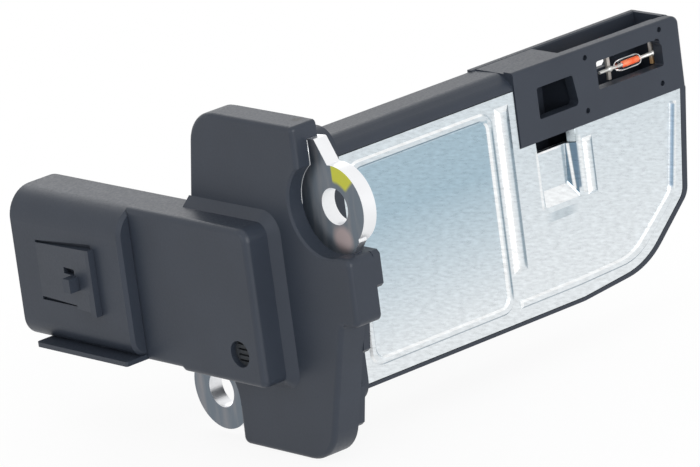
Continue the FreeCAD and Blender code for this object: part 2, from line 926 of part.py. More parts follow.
def board_glue():
    board = circuit_board().BoundBox
    m = 0.5
    return block(board.XMin + m, board.XMax - m, plate_inner, plate_inner + glue_thickness,
                 board.ZMin + m, board.ZMax - m)


def on_board(u, v, length, height, thickness):
    """Small block soldered on the board, centred on a place given in shares of the board."""
    board = circuit_board().BoundBox
    x0 = board.XMin + u * board.XLength - length / 2
    z0 = board.ZMin + v * board.ZLength - height / 2
    return block(x0, x0 + length, board.YMax, board.YMax + thickness, z0, z0 + height)


def signal_chip():
    chip = on_board(0.52, 0.54, signal_chip_size, signal_chip_size, signal_chip_thickness)
    top = circuit_board().BoundBox.YMax + signal_chip_thickness
    return chip.makeChamfer(signal_chip_thickness / 4, edges_on(chip, "Y", top))


def chip_capacitors():
    places = [(0.16, 0.12), (0.32, 0.12), (0.48, 0.12), (0.16, 0.30), (0.80, 0.86), (0.63, 0.86)]
    return [on_board(u, v, capacitor_length, capacitor_width, capacitor_height) for u, v in places]


def chip_resistors():
    places = [(0.65, 0.11), (0.81, 0.11), (0.81, 0.24), (0.81, 0.36), (0.32, 0.25), (0.24, 0.86), (0.40, 0.86)]
    return [on_board(u, v, resistor_length, resistor_width, resistor_height) for u, v in places]


def finger():
    """Carrier that holds the hot film chip in the air stream."""
    z0 = finger_z - finger_width / 2
    outline = [
        (finger_start, z0 - 1.2, -0.3),
        (chamber_right - 0.2, z0 - 1.2, -0.3),
        (chamber_right - 0.2, z0, 0),
        (finger_end, z0, -0.3),
        (finger_end, z0 + finger_width, -1.2),
        (chamber_right - 0.2, z0 + finger_width, 0),
        (chamber_right - 0.2, z0 + finger_width + 1.2, -0.3),
        (finger_start, z0 + finger_width + 1.2, -0.3),
    ]
    return prism(outline, on_y(finger_y), along_y * finger_thickness).cut(film_pocket())


def film_pocket():
    x0 = finger_end - 1.4 - chip_size
    z0 = finger_z - chip_size / 2
    return block(x0, x0 + chip_size, finger_y + finger_thickness - chip_thickness,
                 finger_y + finger_thickness + 1, z0, z0 + chip_size)


def film_chip():
    x0 = finger_end - 1.4 - chip_size
    z0 = finger_z - chip_size / 2
    y0 = finger_y + finger_thickness - chip_thickness
    return block(x0, x0 + chip_size, y0, y0 + chip_thickness, z0, z0 + chip_size)


def finger_support():
    """Step under the finger's root, so that it lies on the plate's side of the chamber."""
    z0 = finger_z - finger_width / 2 - 1.2
    return block(finger_start, chamber_right + 0.5, plate_inner, finger_y, z0, z0 + finger_width + 2.4)


def finger_slot():
    c = 0.05
    z0 = finger_z - finger_width / 2
    return block(chamber_right - 1, channel_left + 1, finger_y - c, finger_y + finger_thickness + c,
                 z0 - c, z0 + finger_width + c)


def arch(x0, y0, x1, y1, z, width, thickness):
    """Bond ribbon from one pad to another, arched between its feet."""
    rise = max(y0, y1) + 0.8
    foot = 0.5
    t = thickness
    outline = [
        (x0, y0, 0),
        (x0 + foot, y0, 0),
        (x0 + foot + 0.4, rise - t, 0),
        (x1 - foot - 0.4, rise - t, 0),
        (x1 - foot, y1, 0),
        (x1, y1, 0),
        (x1, y1 + t, 0),
        (x1 - foot + 0.1, y1 + t, 0),
        (x1 - foot - 0.3, rise, 0),
        (x0 + foot + 0.3, rise, 0),
        (x0 + foot - 0.1, y0 + t, 0),
        (x0, y0 + t, 0),
    ]
    return prism(outline, on_z(z), along_z * width)


def bond_ribbons():
    """From each terminal's pad to the board."""
    board = circuit_board().BoundBox
    pad_y = terminal_lane_y + terminal_thickness / 2
    ribbons = []
    for index in range(terminal_count):
        z = terminal_z(index) - 0.15
        ribbons.append(arch(chamber_left + 0.9, pad_y, board.XMin + 1.4, board.YMax, z, 0.3, 0.12))
    return ribbons


def film_ribbons():
    """From the board to the finger's tracks."""
    board = circuit_board().BoundBox
    top = finger_y + finger_thickness
    ribbons = []
    for step in range(4):
        z = finger_z - 1.35 + step * 0.8
        ribbons.append(arch(board.XMax - 1.4, board.YMax, finger_start + 1.2, top, z, 0.3, 0.12))
    return ribbons


def gel():
    """Soft potting over the circuit, moulded round what it covers."""
    board = circuit_board()
    box = board.BoundBox
    body = block(box.XMin + 0.3, box.XMax - 0.3, box.YMax, box.YMax + gel_depth, box.ZMin + 0.3,
                 box.ZMax - 0.3)
    tools = [signal_chip()] + chip_capacitors() + chip_resistors() + bond_ribbons() + film_ribbons()
    return cut(body, *tools)


def mounting_plate():
    """Steel insert whose two ears stand out of the moulding. Its web is thinner, so plastic covers it."""
    y, z = holes[0]
    tab = [
        (y + 0.5, z + 5.65, 0),
        (y + 2.6, z + 9.1, 0.3),
        (y + 5.2, z + 8.9, 0),
        (y + 6.4, z, 0),
        (y, z, 0),
    ]
    web = [
        (y, z, 0),
        (y + 5.2, z + 8.9, 0),
        (9.9, 17.0, -1.2),
        (13.2, 6.0, -1.2),
        (17.2, -8.65, 0),
        (19.0, -11.0, 0.4),
        (-y, -z, 0),
        (9.4, -19.0, -0.6),
        (-9.0, -17.0, -1.2),
        (-13.2, -6.0, -1.2),
        (-17.2, 8.65, 0),
        (-19.0, 11.0, 0.4),
    ]
    sheet = prism(web, on_x(-ear_thickness), along_x * (ear_thickness - web_cover))
    thick = prism(tab, on_x(-ear_thickness), along_x * ear_thickness)
    ears = hole_cylinders(ear_radius, -ear_thickness, 0)
    room = prism(rectangle(-3.4, 3.0, -11.0, 15.5, -1.0), on_x(-ear_thickness - 1),
                 along_x * (ear_thickness + 2))
    return cut(fuse(sheet, thick, *ears), room, *hole_cylinders(screw_hole_dia / 2, -10, 10))


def main_housing():
    """One moulding: flange, collar, probe frame, air inlet and connector."""
    outer, socket = shroud()
    probe = fuse(body_left(), body_right())
    recess = prism(plate_outline(plate_gap), on_y(probe_front - 3), along_y * (plate_thickness + 3))
    probe = cut(probe, recess, chamber_space(), channel_space(), *window_cutters())
    cover_recess = prism(cover_outline(0), on_y(cover_inner), along_y * (cover_thickness + 1))
    bypass_recess = block(bypass_cover_start - cover_gap, probe_tip + 1, cover_inner, probe_back + 1,
                          probe_bottom - 1, probe_top + 1)
    probe = cut(probe, cover_recess, bypass_recess)
    probe = fuse(probe, partition(), terminal_shelf(), finger_support(), rail())
    probe = cut(probe, finger_slot(), *pin_hole_cutters())
    base = fuse(flange(), collar(), neck(), outer, ledge(), *seat_pads(), *latch_pad())
    base = cut(base, socket, vent_hole(), *latch_grooves())
    body = fuse(base, probe)
    body = cut(body, seal_groove(), mounting_plate(), front_sealant(), rear_sealant(), conductor_near(),
               conductor_far())
    for index in range(terminal_count):
        body = body.cut(terminal(index))
    return body


def build():
    near_lead, far_lead = temperature_leads()
    parts = {
        "main_housing": main_housing(),
        "mounting_plate": mounting_plate(),
        "base_plate": base_plate(),
        "bypass_cover": bypass_cover(),
        "electronics_cover": electronics_cover(),
        "seal_ring": seal_ring(),
        "front_sealant": front_sealant(),
        "rear_sealant": rear_sealant(),
        "circuit_board": circuit_board(),
        "board_glue": board_glue(),
        "signal_chip": signal_chip(),
        "chip_capacitors": Part.makeCompound(chip_capacitors()),
        "chip_resistors": Part.makeCompound(chip_resistors()),
        "bond_ribbons": Part.makeCompound(bond_ribbons()),
        "film_ribbons": Part.makeCompound(film_ribbons()),
        "gel_fill": gel(),
        "sensor_finger": finger(),
        "hot_film_chip": film_chip(),
        "temperature_glass": temperature_glass(),
        "temperature_element": temperature_element(),
        "temperature_lead_near": near_lead,
        "temperature_lead_far": far_lead,
        "temperature_conductor_near": conductor_near(),
        "temperature_conductor_far": conductor_far(),
        "vent_plug": vent_plug(),
    }
    for index in range(terminal_count):
        parts["terminal_" + str(index + 1)] = terminal(index)
    return parts


def main():
    os.makedirs("parts", exist_ok=True)
    for name, shape in build().items():
        shape.exportStep("parts/" + name + ".step")
        print(name, "solids", len(shape.Solids), "volume", round(shape.Volume, 2), "valid", shape.isValid())


main()
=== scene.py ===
"""Looks of a plug-in mass airflow sensor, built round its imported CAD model."""

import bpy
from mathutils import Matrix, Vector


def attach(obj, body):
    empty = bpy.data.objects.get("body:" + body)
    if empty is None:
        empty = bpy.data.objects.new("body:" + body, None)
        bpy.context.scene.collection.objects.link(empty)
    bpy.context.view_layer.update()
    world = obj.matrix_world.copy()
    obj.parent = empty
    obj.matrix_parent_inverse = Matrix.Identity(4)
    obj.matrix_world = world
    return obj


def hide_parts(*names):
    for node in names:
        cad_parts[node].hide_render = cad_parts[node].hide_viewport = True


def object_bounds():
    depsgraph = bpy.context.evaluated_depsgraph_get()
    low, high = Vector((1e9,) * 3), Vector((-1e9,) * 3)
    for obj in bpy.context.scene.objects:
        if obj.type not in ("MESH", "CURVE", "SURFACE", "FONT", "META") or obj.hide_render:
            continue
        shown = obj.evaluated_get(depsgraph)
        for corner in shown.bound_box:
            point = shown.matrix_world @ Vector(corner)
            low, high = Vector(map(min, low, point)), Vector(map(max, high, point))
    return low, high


bl_info = {
    "name": "Mass airflow sensor",
    "version": (1, 0, 0),
    "blender": (4, 5, 0),
    "location": "3D View > Sidebar > Airflow Sensor",
    "description": "Dresses the mass airflow sensor and sets its studio",
    "category": "Object",
}

import math

import bmesh
import bpy
from bpy.props import FloatProperty, FloatVectorProperty, PointerProperty
from mathutils import Matrix, Vector

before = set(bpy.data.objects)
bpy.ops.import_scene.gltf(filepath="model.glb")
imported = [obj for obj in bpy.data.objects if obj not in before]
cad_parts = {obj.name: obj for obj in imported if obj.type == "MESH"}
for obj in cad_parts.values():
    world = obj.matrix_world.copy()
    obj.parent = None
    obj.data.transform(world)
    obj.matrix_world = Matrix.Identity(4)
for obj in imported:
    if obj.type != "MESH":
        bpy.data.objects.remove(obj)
CAD_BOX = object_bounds()

MM = 0.001
WHITE = (1.0, 1.0, 1.0, 1.0)

# A Mix node's two colour sockets, which share their names with its numbers and vectors
MIX_A = 6
MIX_B = 7

# Most of a noise lies between these values
NOISE_LOW = 0.3
NOISE_HIGH = 0.7

# The camera stands where the three sets of parallel edges in the photograph put it, in metres. Its
# lens and sensor are in millimetres
CAMERA_PLACE = (-0.53621, -0.65838, 0.25968)
CAMERA_RIGHT = (0.737399, -0.663322, -0.127462)
CAMERA_UP = (0.282747, 0.131755, 0.950102)
CAMERA_LENS = 334.286
SENSOR_WIDTH = 36.0
CLIP_START = 0.01

# Lamps, in metres: name, the setting that holds its power, diameter, place from the CAD's middle
LAMPS = (
    ("top_lamp", "top_power", 1.2, (-0.2, -0.1, 1.2)),
    ("front_lamp", "front_power", 0.9, (-1.35, 0.1, 0.35)),
    ("side_lamp", "side_power", 0.9, (-0.3, -1.35, 0.25)),
    ("back_lamp", "back_power", 0.9, (0.6, 1.2, 0.8)),
)

# The world's strength as a light; to the eye it is white
WORLD_LIGHT = 0.62

# The floor's half width, and the distances between which it turns plain white, in metres
FLOOR_HALF = 3.0
WHITE_START = 0.035
WHITE_END = 0.1
WHITE_LEAST = 0.9

# Patterns, in cells to a millimetre, from the size of what they show
PBT_CLOUDS = 0.11  # 9 mm wide
PBT_GRAIN = 2.9  # 0.35 mm wide
SHEET_STREAKS = (0.7, 2.7)  # 1.4 mm long and 0.4 mm wide
STEEL_RUBS = (0.3, 0.7, 0.11)  # 3.3 mm, 1.4 mm and 9 mm along X, Y and Z
GLASS_WAVES = 0.7  # 1.4 mm long
COAT_SPOTS = 0.9  # 1.1 mm wide

# Places on the sensor, in metres
PLATE_FACE_Y = -0.00485
EAR_FACE_X = -0.0023
EAR_HOLE_Y = -0.014845
EAR_HOLE_Z = 0.015345

# The gate's pit on top of the flange, darkened as painted shade: its centre, and its radii at the
# rim and at full depth
GATE_MARK = (-0.0015, -0.0084, 0.02655)
GATE_RIM = 0.0009
GATE_CORE = 0.0006

# The tarnish on the upper ear: its centre, and its radii at the rim and at full tone
TARNISH_CENTRE = (EAR_FACE_X, -0.0157, 0.0108)
TARNISH_RIM = 0.0023
TARNISH_CORE = 0.0013

# Edges of the dab of marking paint, each from bare to painted: its distance from the hole, give or
# take the ragged edge, its Y on the left, and below, Z plus Y times the slant
PAINT_INNER = (0.0029, 0.0034)
PAINT_RAGGED = 0.0008
PAINT_LEFT = (-0.0149, -0.0151)
PAINT_LOW = (0.0013, 0.0019)
PAINT_SLANT = 0.93

# The heights between which the weld's heat turns the far strip tan
HEAT_START_Z = 0.0153
HEAT_END_Z = 0.0146

# Lean of the sheet's streaks, in degrees
STREAK_LEAN = -16.0

# The panel inside the sheet's pressed ring: centre and half size along X and Z in millimetres, the
# heights in metres between which it darkens, and the share of its tone outside the ring
PANEL = (22.35, 2.05, 12.65, 13.75)
PANEL_LOW_Z = -0.012
PANEL_HIGH_Z = 0.008
PANEL_OUTSIDE = 0.28

# Painted light on the sheet: painted highlights and shade where its rolled edges catch the light
# or turn away from it, and a painted shadow under the recess. Centre and half size along X and Z
# in millimetres, lean in degrees, the colour there, and its strength
SHEET_PAINTED_LIGHT = (
    (35.75, 2.0, 0.45, 13.0, 0.0, "#788E9C", 0.85),
    (37.15, 4.3, 1.05, 12.3, 0.0, "#F3F5F6", 0.75),
    (38.9, 4.3, 0.55, 11.4, 0.0, "#8095A2", 0.75),
    (52.75, 3.9, 0.65, 4.1, 0.0, "#F1F4F5", 0.7),
    (53.9, 3.9, 0.4, 4.0, 0.0, "#8397A4", 0.7),
    (69.1, 2.3, 0.4, 6.4, 10.0, "#7F9BB4", 0.85),
    (69.85, 2.0, 0.4, 6.6, 10.0, "#F4F7F8", 0.7),
    (47.0, -1.5, 3.2, 0.7, 0.0, "#A7B6BF", 0.5),
    (43.6, 4.2, 0.3, 4.4, 0.0, "#F6F8F9", 0.8),
    (44.1, 4.2, 0.2, 4.0, 0.0, "#8E9FAA", 0.7),
    (49.6, 4.9, 0.35, 3.0, 0.0, "#8FA4B1", 0.7),
    (50.4, 4.4, 0.2, 3.5, 0.0, "#FBFCFC", 0.9),
    (51.0, 4.4, 0.4, 3.4, 0.0, "#6C8397", 0.9),
    (51.85, 4.4, 0.4, 4.4, 0.0, "#F3F6F7", 0.7),
    (51.0, 8.8, 0.9, 1.0, 0.0, "#C6CFD3", 0.95),
    (47.0, 7.6, 2.9, 0.16, 0.0, "#FDFDFD", 0.8),
)

# Points of a new piece that are closer than this are one, in millimetres
MERGE_DISTANCE = 1e-4

# Burr beside the upper ear, in millimetres and degrees: straight down, then round the hole
BURR_SIDES = 8
BURR_Y = -10.88
BURR_TOP_Z = 24.2
BURR_TURN_Z = 20.72
BURR_SWEEP = 58.0
BURR_STEPS = 16

# Cheek of the outlet slot, in millimetres: the corners of its foot in X and Y, and their Z
CHEEK_FOOT = ((50.5, -3.7), (51.28, -4.82), (51.5, -4.82), (50.8, -3.7))
CHEEK_FOOT_Z = 7.8
CHEEK_ROUNDING = 0.06

# The line of the bead and its leads, where each of them starts along X, and the face of the posts
# that the leads are welded on, in millimetres
BEAD_Y = -2.99
BEAD_Z = 15.55
GLASS_START = 62.05
ELEMENT_START = 63.25
LEAD_START = 66.4
POST_FACE_Y = -2.75

# Steps of a full spin, and the element's softened edge in millimetres
SPIN_STEPS = 40
ELEMENT_EDGE = 0.1

# Shoulders of the glass: distances from its end, and how much thinner it is there
NEAR_SHOULDER = ((0.03, 0.52), (0.2, 0.26), (0.5, 0.1), (0.95, 0.0))
FAR_SHOULDER = ((0.75, 0.0), (0.4, 0.07), (0.15, 0.22), (0.03, 0.5))

# Nip at the far lead's cut end: distances from that end, and how much thicker it is there
LEAD_NIP = ((0.6, 0.0), (0.35, 0.05), (0.05, 0.02))

# Welds: name, the post's X, and the size of the whole nugget
WELDS = (
    ("weld_near", 61.0, (1.1, 0.62, 0.85)),
    ("weld_far", 69.6, (1.0, 0.62, 0.8)),
)

# Finishes of the circuit, the seals and the vent: name, colour, the colour of its mottling,
# roughness, the mottling's size in millimetres, IOR, and the nodes that have it
DULL_FINISHES = (
    # Sintered plug: near black, with a coarse open grain
    ("porous_vent", "#15171A", "#3A3F45", 0.7, 0.3, 1.45, ("vent_plug",)),
    # Silicone, dispensed: even soft grey with slow swirls
    ("grey_silicone", "#6A6D70", "#7C7F82", 0.5, 1.5, 1.45,
     ("front_sealant", "rear_sealant", "board_glue")),
    # Alumina, fired: creamy white with a fine mottle
    ("fired_alumina", "#EFEEE6", "#E2E0D6", 0.45, 0.6, 1.45, ("circuit_board", "sensor_finger")),
    # Epoxy, moulded: matt black with a fine grain
    ("moulded_epoxy", "#1B1C1E", "#26282A", 0.5, 0.4, 1.45, ("signal_chip", "chip_resistors")),
    # Ceramic, fired: tan and a little uneven
    ("fired_capacitor", "#A58A68", "#8D7351", 0.4, 0.4, 1.45, ("chip_capacitors",)),
    # Silicone gel, poured: pale and glossy, with wide faint clouds
    ("soft_gel", "#C9CFCB", "#BDC4C0", 0.12, 4.0, 1.41, ("gel_fill",)),
    # Silicon, polished: dark violet and mirror smooth
    ("polished_silicon", "#453A55", "#33303F", 0.1, 0.6, 1.45, ("hot_film_chip",)),
    # Rubber, moulded: matt black with a faint bloom
    ("moulded_rubber", "#16171A", "#1F2124", 0.5, 0.5, 1.45, ("seal_ring",)),
)


# Helpers


def linear(code):
    """sRGB hex to a linear colour with alpha."""
    values = [int(code[i:i + 2], 16) / 255 for i in (1, 3, 5)]
    return [v / 12.92 if v <= 0.04045 else ((v + 0.055) / 1.055) ** 2.4 for v in values] + [1.0]


def shade(colour, factor):
    """A lighter or darker colour, with alpha."""
    return [value * factor for value in colour[:3]] + [1.0]


def link(tree, node, sources):
    """Links a node's inputs to sockets, or to the first output in use of other nodes."""
    for name, source in sources.items():
        if isinstance(source, bpy.types.Node):
            source = next(output for output in source.outputs if output.enabled)
        tree.links.new(source, node.inputs[name])


def add_node(tree, kind, settings=None, links=None):
    """Adds a node with its settings and links. Settings in lower case are its properties."""
    made = tree.nodes.new(kind)
    for name, value in (settings or {}).items():
        if isinstance(name, str) and name[0].islower():
            setattr(made, name, value)
        else:
            made.inputs[name].default_value = value
    link(tree, made, links or {})
    return made


def new_material(name, values):
    """A material with one principled shader, and the socket of the object's own coordinates."""
    material = bpy.data.materials.new(name)
    material.use_nodes = True
    tree = material.node_tree
    tree.nodes.clear()
    shader = add_node(tree, "ShaderNodeBsdfPrincipled", values)
    add_node(tree, "ShaderNodeOutputMaterial", links={"Surface": shader})
    coordinates = add_node(tree, "ShaderNodeTexCoord")
    return material, tree, shader, coordinates.outputs["Object"]


def add_relief(tree, shader, pattern, smooth, rough, strength, depth):
    """Takes the roughness from a pattern, and bumps of this depth in millimetres."""
    polish = add_node(tree, "ShaderNodeMapRange",
                      {"From Min": NOISE_LOW, "From Max": NOISE_HIGH,
                       "To Min": smooth, "To Max": rough}, {"Value": pattern})
    bump = add_node(tree, "ShaderNodeBump", {"Strength": strength, "Distance": depth * MM},
                    {"Height": pattern})
    link(tree, shader, {"Roughness": polish, "Normal": bump})


def rays_of_sight(tree):
    """1 where the background is seen, also in a reflection or through glass, and 0 as a light."""
    rays = add_node(tree, "ShaderNodeLightPath")
    seen = add_node(tree, "ShaderNodeMath", {"operation": "MAXIMUM"},
                    {0: rays.outputs["Is Camera Ray"], 1: rays.outputs["Is Glossy Ray"]})
    return add_node(tree, "ShaderNodeMath", {"operation": "MAXIMUM"},
                    {0: seen, 1: rays.outputs["Is Transmission Ray"]})


def dress(names, material):
    """Gives CAD nodes their material."""
    for name in names:
        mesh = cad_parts[name].data
        if not mesh.materials:
            mesh.materials.append(material)
        for index in range(len(mesh.materials)):
            mesh.materials[index] = material


def of_kind(items, kind):
    """The vertices, edges or faces among what a bmesh operator returns."""
    return [item for item in items if isinstance(item, kind)]


def finish_piece(name, bm, material):
    """Turns a bmesh in millimetres into a smooth piece in metres that rides on the sensor."""
    bmesh.ops.remove_doubles(bm, verts=bm.verts, dist=MERGE_DISTANCE)
    bmesh.ops.recalc_face_normals(bm, faces=bm.faces)
    bmesh.ops.scale(bm, vec=(MM, MM, MM), verts=bm.verts)
    mesh = bpy.data.meshes.new(name)
    bm.to_mesh(mesh)
    bm.free()
    mesh.shade_smooth()
    mesh.materials.append(material)
    piece = bpy.data.objects.new(name, mesh)
    bpy.context.scene.collection.objects.link(piece)
    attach(piece, "root")
    return piece


# Materials


def moulded_pbt(name, colour, rough):
    """Glass filled PBT from a spark eroded mould: an even grain, a soft sheen and flow clouds.

    The grain is 0.2 mm on the real part, and is drawn 0.35 mm wide to show.
    """
    material, tree, shader, place = new_material(name, {"IOR": 1.5, "Specular IOR Level": 0.32})
    clouds = add_node(tree, "ShaderNodeTexNoise", {"Scale": PBT_CLOUDS / MM, "Detail": 3.0},
                      {"Vector": place})
    tint = add_node(tree, "ShaderNodeMix",
                    {"data_type": "RGBA", MIX_A: shade(colour, 0.88), MIX_B: shade(colour, 1.2)},
                    {"Factor": clouds})
    # The gate's stub leaves a pit on top of the flange; its darkness is painted shade
    gate = add_node(tree, "ShaderNodeVectorMath", {"operation": "DISTANCE", 1: GATE_MARK},
                    {0: place})
    pit = add_node(tree, "ShaderNodeMapRange",
                   {"From Min": GATE_RIM, "From Max": GATE_CORE, "To Max": 0.95}, {"Value": gate})
    pit_with_painted_shade = add_node(tree, "ShaderNodeMix", {"data_type": "RGBA", MIX_B: shade(colour, 0.2)},
                      {"Factor": pit, MIX_A: tint})
    grain = add_node(tree, "ShaderNodeTexNoise",
                     {"Scale": PBT_GRAIN / MM, "Detail": 2.0, "Roughness": 0.6},
                     {"Vector": place})
    link(tree, shader, {"Base Color": pit_with_painted_shade})
    add_relief(tree, shader, grain, rough - 0.06, rough + 0.06, 0.3, 0.03)
    return material


def box_distances(tree, place, x, z, half_x, half_z, lean=0.0):
    """Distances from a box's centre along its own X and Z, 1 at its sides. Sizes in millimetres."""
    fitted = add_node(tree, "ShaderNodeMapping",
                      {"vector_type": "TEXTURE", "Location": (x * MM, 0.0, z * MM),
                       "Rotation": (0.0, math.radians(lean), 0.0),
                       "Scale": (half_x * MM, 1.0, half_z * MM)}, {"Vector": place})
    reach = add_node(tree, "ShaderNodeVectorMath", {"operation": "ABSOLUTE"}, {0: fitted})
    return add_node(tree, "ShaderNodeSeparateXYZ", links={0: reach})


def panel_tone(tree, place, face, panel):
    """The sheet's colour, which turns to the panel's with height, most of all inside its ring."""
    sides = box_distances(tree, place, *PANEL)
    farthest = add_node(tree, "ShaderNodeMath", {"operation": "MAXIMUM"},
                        {0: sides.outputs["X"], 1: sides.outputs["Z"]})
    inside = add_node(tree, "ShaderNodeMapRange", {"From Min": 1.0, "From Max": 0.97},
                      {"Value": farthest})
    depth = add_node(tree, "ShaderNodeMapRange", {"To Min": PANEL_OUTSIDE}, {"Value": inside})
    where = add_node(tree, "ShaderNodeSeparateXYZ", links={0: place})
    height = add_node(tree, "ShaderNodeMapRange",
                      {"From Min": PANEL_LOW_Z, "From Max": PANEL_HIGH_Z},
                      {"Value": where.outputs["Z"]})
    dark = add_node(tree, "ShaderNodeMath", {"operation": "MULTIPLY"}, {0: depth, 1: height})
    return add_node(tree, "ShaderNodeMix", {"data_type": "RGBA", MIX_A: face, MIX_B: panel},
                    {"Factor": dark})


def paint_slope_light(tree, place, sheet):
    """Paints highlights on the slopes that face up or towards the flange, and shade on those that
    face away.
    """
    where = add_node(tree, "ShaderNodeSeparateXYZ", links={0: place})
    facing = add_node(tree, "ShaderNodeSeparateXYZ", links={0: place.node.outputs["Normal"]})
    # In the pressed-in places it is the slopes that face the tip that catch the light
    sunk = add_node(tree, "ShaderNodeMapRange",
                    {"From Min": PLATE_FACE_Y - 0.02 * MM, "From Max": PLATE_FACE_Y + 0.03 * MM,
                     "To Min": -1.0}, {"Value": where.outputs["Y"]})
    sideways = add_node(tree, "ShaderNodeMath", {"operation": "MULTIPLY"},
                        {0: facing.outputs["X"], 1: sunk})
    lit = add_node(tree, "ShaderNodeMath", {"operation": "MULTIPLY_ADD", 1: 0.6},
                   {0: facing.outputs["Z"], 2: sideways})
    bright = add_node(tree, "ShaderNodeMapRange", {"From Min": 0.08, "From Max": 0.35},
                      {"Value": lit})
    shadow = add_node(tree, "ShaderNodeMapRange", {"From Min": -0.25, "From Max": -0.6},
                      {"Value": lit})
    lighter = add_node(tree, "ShaderNodeMix", {"data_type": "RGBA", MIX_B: linear("#F6F8F9")},
                       {"Factor": bright, MIX_A: sheet})
    return add_node(tree, "ShaderNodeMix", {"data_type": "RGBA", MIX_B: linear("#6A8192")},
                    {"Factor": shadow, MIX_A: lighter})


def paint_flank_light(tree, place, sheet):
    """Lays the painted highlights and shade of the rolled edges over the sheet, soft across each
    edge.
    """
    for *box, tone, strength in SHEET_PAINTED_LIGHT:
        sides = box_distances(tree, place, *box)
        across = add_node(tree, "ShaderNodeMapRange",
                          {"From Min": 1.0, "From Max": 0.45, "To Max": strength},
                          {"Value": sides.outputs["X"]})
        along = add_node(tree, "ShaderNodeMapRange", {"From Min": 1.0, "From Max": 0.9},
                         {"Value": sides.outputs["Z"]})
        soft = add_node(tree, "ShaderNodeMath", {"operation": "MULTIPLY"}, {0: across, 1: along})
        sheet = add_node(tree, "ShaderNodeMix", {"data_type": "RGBA", MIX_B: linear(tone)},
                         {"Factor": soft, MIX_A: sheet})
    return sheet


def rolled_aluminium(face, panel, rough):
    """Rolled aluminium sheet, stamped: short wavy streaks along its length, and painted light.

    The panel over the circuit is a little darker at its top. Painted highlights brighten the
    pressed edges and the slopes that face up, and painted shade turns the slopes that face away
    from the light blue grey. The streaks are drawn 0.4 mm wide to show.
    """
    material, tree, shader, place = new_material("rolled_aluminium", {"Metallic": 1.0})
    along, across = SHEET_STREAKS
    turned = add_node(tree, "ShaderNodeMapping",
                      {"Rotation": (0.0, math.radians(STREAK_LEAN), 0.0)}, {"Vector": place})
    stretched = add_node(tree, "ShaderNodeMapping", {"Scale": (along / MM, 1.0, across / MM)},
                         {"Vector": turned})
    streaks = add_node(tree, "ShaderNodeTexNoise", {"Scale": 1.0, "Detail": 3.0, "Roughness": 0.6},
                       {"Vector": stretched})
    sheet = panel_tone(tree, place, face, panel)
    sheet = paint_slope_light(tree, place, sheet)
    sheet = paint_flank_light(tree, place, sheet)
    lines = add_node(tree, "ShaderNodeMapRange",
                     {"From Min": NOISE_LOW, "From Max": NOISE_HIGH,
                      "To Min": 0.86, "To Max": 1.1}, {"Value": streaks})
    lined = add_node(tree, "ShaderNodeVectorMath", {"operation": "SCALE"},
                     {0: sheet, "Scale": lines})
    link(tree, shader, {"Base Color": lined})
    add_relief(tree, shader, streaks, rough - 0.05, rough + 0.07, 0.25, 0.02)
    return material


def worn_plating(tree, place, rubs, face):
    """The ear's face: grey plating with rubbed spots, and a warm tarnish low on the upper ear."""
    spots = add_node(tree, "ShaderNodeMapRange", {"From Min": 0.45, "From Max": 0.75},
                     {"Value": rubs})
    rubbed = add_node(tree, "ShaderNodeMix",
                      {"data_type": "RGBA", MIX_A: face, MIX_B: linear("#85868A")},
                      {"Factor": spots})
    away = add_node(tree, "ShaderNodeVectorMath", {"operation": "DISTANCE", 1: TARNISH_CENTRE},
                    {0: place})
    tarnish = add_node(tree, "ShaderNodeMapRange",
                       {"From Min": TARNISH_RIM, "From Max": TARNISH_CORE, "To Max": 0.75},
                       {"Value": away})
    return add_node(tree, "ShaderNodeMix", {"data_type": "RGBA", MIX_B: linear("#B5A3A1")},
                    {"Factor": tarnish, MIX_A: rubbed})


def paint_cover(tree, place, rubs, on_face):
    """1 under the dab of paint: a sector from near the hole outwards, cut straight on its left."""
    hole = add_node(tree, "ShaderNodeVectorMath",
                    {"operation": "DISTANCE", 1: (EAR_FACE_X, EAR_HOLE_Y, EAR_HOLE_Z)}, {0: place})
    ragged = add_node(tree, "ShaderNodeMath", {"operation": "MULTIPLY_ADD", 1: -PAINT_RAGGED},
                      {0: rubs, 2: hole})
    where = add_node(tree, "ShaderNodeSeparateXYZ", links={0: place})
    slanted = add_node(tree, "ShaderNodeMath", {"operation": "MULTIPLY_ADD", 1: PAINT_SLANT},
                       {0: where.outputs["Y"], 2: where.outputs["Z"]})
    cover = on_face
    for (bare, full), value in ((PAINT_INNER, ragged), (PAINT_LEFT, where.outputs["Y"]),
                                (PAINT_LOW, slanted)):
        edge = add_node(tree, "ShaderNodeMapRange", {"From Min": bare, "From Max": full},
                        {"Value": value})
        cover = add_node(tree, "ShaderNodeMath", {"operation": "MULTIPLY"}, {0: cover, 1: edge})
    return cover


def punched_steel(face, edge, paint):
    """Plated steel, punched: smooth darker faces, bright sheared edges, a dab of marking paint."""
    material, tree, shader, place = new_material("punched_steel", {})
    facing = add_node(tree, "ShaderNodeSeparateXYZ", links={0: place.node.outputs["Normal"]})
    flat = add_node(tree, "ShaderNodeMath", {"operation": "ABSOLUTE"}, {0: facing.outputs["X"]})
    on_face = add_node(tree, "ShaderNodeMapRange", {"From Min": 0.85, "From Max": 0.95},
                       {"Value": flat})
    stretched = add_node(tree, "ShaderNodeMapping", {"Scale": [rub / MM for rub in STEEL_RUBS]},
                         {"Vector": place})
    rubs = add_node(tree, "ShaderNodeTexNoise", {"Scale": 1.0, "Detail": 3.0},
                    {"Vector": stretched})
    plating = worn_plating(tree, place, rubs, face)
    metal = add_node(tree, "ShaderNodeMix", {"data_type": "RGBA", MIX_A: edge},
                     {"Factor": on_face, MIX_B: plating})
    painted = paint_cover(tree, place, rubs, on_face)
    colour = add_node(tree, "ShaderNodeMix", {"data_type": "RGBA", MIX_B: paint},
                      {"Factor": painted, MIX_A: metal})
    metallic = add_node(tree, "ShaderNodeMath", {"operation": "MULTIPLY_ADD", 1: -0.9, 2: 1.0},
                        {0: painted})
    link(tree, shader, {"Base Color": colour, "Metallic": metallic})
    add_relief(tree, shader, rubs, 0.3, 0.42, 0.15, 0.02)
    return material


